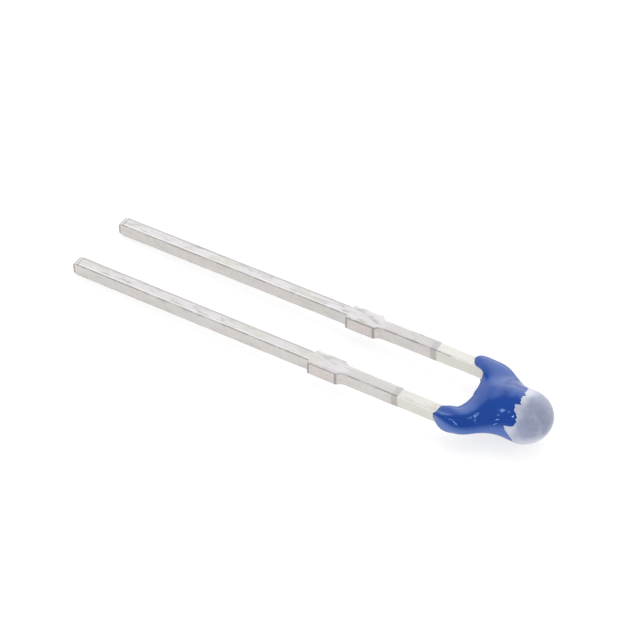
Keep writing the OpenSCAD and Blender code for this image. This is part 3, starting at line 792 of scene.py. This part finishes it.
def greyPaint():
    material, tree, shader = startMaterial("milkyGreyPaint")
    where = addNode(tree, "ShaderNodeTexCoord").outputs["Object"]
    clouds = addNode(tree, "ShaderNodeTexNoise", {"Vector": where, "Scale": 1 / (paintFinish["cloud"] * mm),
                     "Detail": 4.0})
    paleness = addNode(tree, "ShaderNodeAttribute", attribute_name="paleness").outputs["Fac"]
    mottle = addNode(tree, "ShaderNodeMath", {0: clouds, 1: paintFinish["mottle"],
                     2: paintFinish["mottleStart"]}, operation="MULTIPLY_ADD")
    shade = addNode(tree, "ShaderNodeMath", {0: paleness, 1: paintFinish["paling"], 2: mottle},
                    operation="MULTIPLY_ADD")
    tone = addNode(tree, "ShaderNodeValToRGB", {0: shade})
    ramp = tone.color_ramp.elements
    ramp.new(paintFinish["bodyAt"])
    for stop, name in zip(ramp, ("warm", "body", "pale")):
        stop.position = paintFinish[name + "At"]
        stop.color = linear(paintFinish[name])
    tree.links.new(tone.outputs[0], shader.inputs["Base Color"])
    shader.inputs["Roughness"].default_value = paintFinish["roughness"]
    shader.inputs["Sheen Weight"].default_value = paintFinish["sheen"]
    shader.inputs["Sheen Roughness"].default_value = paintFinish["sheenRoughness"]
    shader.inputs["IOR"].default_value = paintFinish["ior"]
    grain = addNode(tree, "ShaderNodeTexNoise", {"Vector": where, "Scale": 1 / (paintFinish["grain"] * mm),
                    "Detail": 3.0})
    bump = addNode(tree, "ShaderNodeBump", {"Height": grain, "Strength": paintFinish["bump"],
                   "Distance": paintFinish["bumpDepth"] * mm})
    tree.links.new(bump.outputs[0], shader.inputs["Normal"])
    return material


markingPaint.data.materials.append(greyPaint())

# What the bead holds: sintered black oxide with a fine grain, satin fired silver, bright solder
innerFinishes = {
    "sinteredOxide": {"nodes": ["ceramic_chip"], "dark": "#262423", "light": "#3A3735",
                      "metallic": 0.0, "roughness": 0.75, "grain": 0.02},
    "firedSilver": {"nodes": ["left_electrode", "right_electrode"], "dark": "#CFCCC6", "light": "#E4E2DD",
                    "metallic": 1.0, "roughness": 0.38, "grain": 0.03},
    "solderFillet": {"nodes": ["left_solder", "right_solder"], "dark": "#A9A9A8", "light": "#C4C4C3",
                     "metallic": 1.0, "roughness": 0.24, "grain": 0.12},
}
innerRelief = {"bump": 0.3, "bumpDepth": 0.005}


def innerMaterial(name, finish):
    material, tree, shader = startMaterial(name)
    where = addNode(tree, "ShaderNodeTexCoord").outputs["Object"]
    grain = addNode(tree, "ShaderNodeTexNoise", {"Vector": where, "Scale": 1 / (finish["grain"] * mm),
                    "Detail": 3.0})
    tone = addNode(tree, "ShaderNodeMix", {0: grain, 6: linear(finish["dark"]), 7: linear(finish["light"])},
                   data_type="RGBA")
    tree.links.new(tone.outputs[2], shader.inputs["Base Color"])
    shader.inputs["Metallic"].default_value = finish["metallic"]
    shader.inputs["Roughness"].default_value = finish["roughness"]
    bump = addNode(tree, "ShaderNodeBump", {"Height": grain, "Strength": innerRelief["bump"],
                   "Distance": innerRelief["bumpDepth"] * mm})
    tree.links.new(bump.outputs[0], shader.inputs["Normal"])
    return material


for name, finish in innerFinishes.items():
    material = innerMaterial(name, finish)
    for node in finish["nodes"]:
        slots = frame["nodes"][node].data.materials
        slots.clear()
        slots.append(material)
print("inner pieces finished")

studio = {
    "floorSize": 0.6, "floor": "#F2F2F2", "seenShadow": 0.35, "seenGlow": 0.72,
    "backdropGlow": 1.74, "roomGlow": 0.42,  # what the gloss sees behind the part, and elsewhere
    "backdropAzimuth": 115, "backdropWidth": 60, "backdropTop": 39,  # degrees
    "sideSoftness": 0.15, "topSoftness": 0.08,
    # A brighter pool in the backdrop, in degrees, and the glow that it adds
    "poolAzimuth": 108, "poolElevation": 24, "poolInner": 6, "poolOuter": 28, "poolGlow": 1.0,
}


def towards(azimuth, elevation):  # a direction from degrees
    a, e = math.radians(azimuth), math.radians(elevation)
    return Vector((math.cos(a) * math.cos(e), math.sin(a) * math.cos(e), math.sin(e)))


def makeFloor():
    half = studio["floorSize"] / 2
    corners = [(-half, -half, 0), (half, -half, 0), (half, half, 0), (-half, half, 0)]
    mesh = bpy.data.meshes.new("floor")
    mesh.from_pydata(corners, [], [(0, 1, 2, 3)])
    floor = bpy.data.objects.new("floor", mesh)
    bpy.context.scene.collection.objects.link(floor)
    material = bpy.data.materials.new("paleFloor")
    material.use_nodes = True
    tree = material.node_tree
    tree.nodes.clear()
    # Pale card lights the part; the camera and the gloss see it as white, with the part's shadow
    card = addNode(tree, "ShaderNodeBsdfDiffuse", {"Color": linear(studio["floor"])})
    shadow = studio["seenShadow"]
    seen = addNode(tree, "ShaderNodeBsdfDiffuse", {"Color": (shadow, shadow, shadow, 1)})
    glow = addNode(tree, "ShaderNodeEmission", {"Color": (1, 1, 1, 1), "Strength": studio["seenGlow"]})
    white = addNode(tree, "ShaderNodeAddShader", {0: seen, 1: glow})
    rays = addNode(tree, "ShaderNodeLightPath").outputs
    mirrored = addNode(tree, "ShaderNodeMath", {0: rays["Is Glossy Ray"], 1: rays["Is Transmission Ray"]},
                       operation="MAXIMUM")
    straight = addNode(tree, "ShaderNodeMath", {0: rays["Is Camera Ray"], 1: mirrored}, operation="MAXIMUM")
    choice = addNode(tree, "ShaderNodeMixShader", {0: straight, 1: card, 2: white})
    addNode(tree, "ShaderNodeOutputMaterial", {"Surface": choice})
    floor.data.materials.append(material)


def makeWorld():
    world = bpy.data.worlds.new("studio")
    bpy.context.scene.world = world
    world.use_nodes = True
    tree = world.node_tree
    tree.nodes.clear()
    # The part is lit by and mirrors a bright backdrop in a dimmer room; the camera sees plain white
    direction = addNode(tree, "ShaderNodeTexCoord").outputs["Generated"]
    height = addNode(tree, "ShaderNodeSeparateXYZ", {0: direction}).outputs["Z"]
    facing = {}
    for key, azimuth, elevation in (("backdrop", studio["backdropAzimuth"], 0),
                                    ("pool", studio["poolAzimuth"], studio["poolElevation"])):
        facing[key] = addNode(tree, "ShaderNodeVectorMath", {0: direction, 1: towards(azimuth, elevation)},
                              operation="DOT_PRODUCT")
    top, topSoftness = math.sin(math.radians(studio["backdropTop"])), studio["topSoftness"]
    side, outer, inner = (math.cos(math.radians(studio[key]))
                          for key in ("backdropWidth", "poolOuter", "poolInner"))
    parts = {}
    for key, value, start, full in (
            ("below", height, top + topSoftness, top - topSoftness),
            ("behind", facing["backdrop"], side - studio["sideSoftness"], side + studio["sideSoftness"]),
            ("pool", facing["pool"], outer, inner)):
        parts[key] = addNode(tree, "ShaderNodeMapRange", {"Value": value, "From Min": start,
                             "From Max": full}, interpolation_type="SMOOTHSTEP")
    backdrop = addNode(tree, "ShaderNodeMath", {0: parts["below"], 1: parts["behind"]}, operation="MULTIPLY")
    glow = addNode(tree, "ShaderNodeMapRange", {"Value": backdrop, "To Min": studio["roomGlow"],
                   "To Max": studio["backdropGlow"]})
    glow = addNode(tree, "ShaderNodeMath", {0: parts["pool"], 1: studio["poolGlow"], 2: glow},
                   operation="MULTIPLY_ADD")
    room = addNode(tree, "ShaderNodeBackground", {"Color": (1, 1, 1, 1), "Strength": glow})
    white = addNode(tree, "ShaderNodeBackground", {"Color": (1, 1, 1, 1), "Strength": 1.0})
    rays = addNode(tree, "ShaderNodeLightPath").outputs
    choice = addNode(tree, "ShaderNodeMixShader", {0: rays["Is Camera Ray"], 1: room, 2: white})
    addNode(tree, "ShaderNodeOutputWorld", {"Surface": choice})


# Azimuth and elevation in degrees, distance, width and height in metres, and the glow of the
# lamp's face. The two wide ones light the part and don't show in its gloss; the small ones do,
# as the dots and dashes on the lacquer.
lamps = {
    "softbox": (120, 58, 0.25, 0.24, 0.24, 2.25),
    "fill": (-72, 14, 0.30, 0.25, 0.12, 5.0),
    "keyLamp": (-88, 36, 0.30, 0.045, 0.026, 12.0),
    "sideLamp": (-171, 43.5, 0.30, 0.020, 0.010, 11.0),
    "dotLamp": (-163, 49, 0.30, 0.020, 0.010, 12.0),
    "smallLamp": (-128, 52, 0.30, 0.030, 0.025, 24.0),
    "stripOne": (-5, 64, 0.30, 0.030, 0.008, 10.0),
    "stripTwo": (9, 61, 0.30, 0.030, 0.010, 10.0),
    "stripThree": (22, 58, 0.30, 0.030, 0.010, 10.0),
    "stripFour": (33, 60, 0.30, 0.020, 0.010, 10.0),
}
glossless = ("softbox", "fill")


def makeLamp(name, azimuth, elevation, distance, width, height, glow):
    data = bpy.data.lights.new(name, "AREA")
    data.shape = "RECTANGLE"
    data.size = width
    data.size_y = height
    data.energy = glow * math.pi * width * height
    lampObject = bpy.data.objects.new(name, data)
    lampObject.location = towards(azimuth, elevation) * distance
    lampObject.rotation_euler = towards(azimuth, elevation).to_track_quat("Z", "Y").to_euler()
    lampObject.visible_glossy = name not in glossless
    bpy.context.scene.collection.objects.link(lampObject)


view = {  # millimetres and degrees; the azimuth that the camera looks along, and how far down
    "aim": (-0.0028, 0.3570, 0.8), "distance": 76.855, "azimuth": 119.414, "elevation": 44.493,
    "roll": 1.7245, "focalLength": 127.17, "sensor": 36,
}


def makeCamera():
    look = towards(view["azimuth"], -view["elevation"])
    roll = math.radians(view["roll"])
    level = look.cross(Vector((0, 0, 1))).normalized()
    upright = level.cross(look)
    right = math.cos(roll) * level + math.sin(roll) * upright
    up = right.cross(look)
    data = bpy.data.cameras.new("camera")
    data.sensor_width = view["sensor"]
    data.lens = view["focalLength"]
    data.clip_start = 0.005
    data.clip_end = 10
    camera = bpy.data.objects.new("camera", data)
    place = Matrix((right, up, -look)).transposed().to_4x4()
    place.translation = Vector(view["aim"]) * mm - look * view["distance"] * mm
    camera.matrix_world = place
    bpy.context.scene.collection.objects.link(camera)
    bpy.context.scene.camera = camera


makeFloor()
makeWorld()
for name, lamp in lamps.items():
    makeLamp(name, *lamp)
makeCamera()
bpy.context.scene.view_settings.view_transform = "Standard"
print("studio made")

bpy.context.view_layer.update()
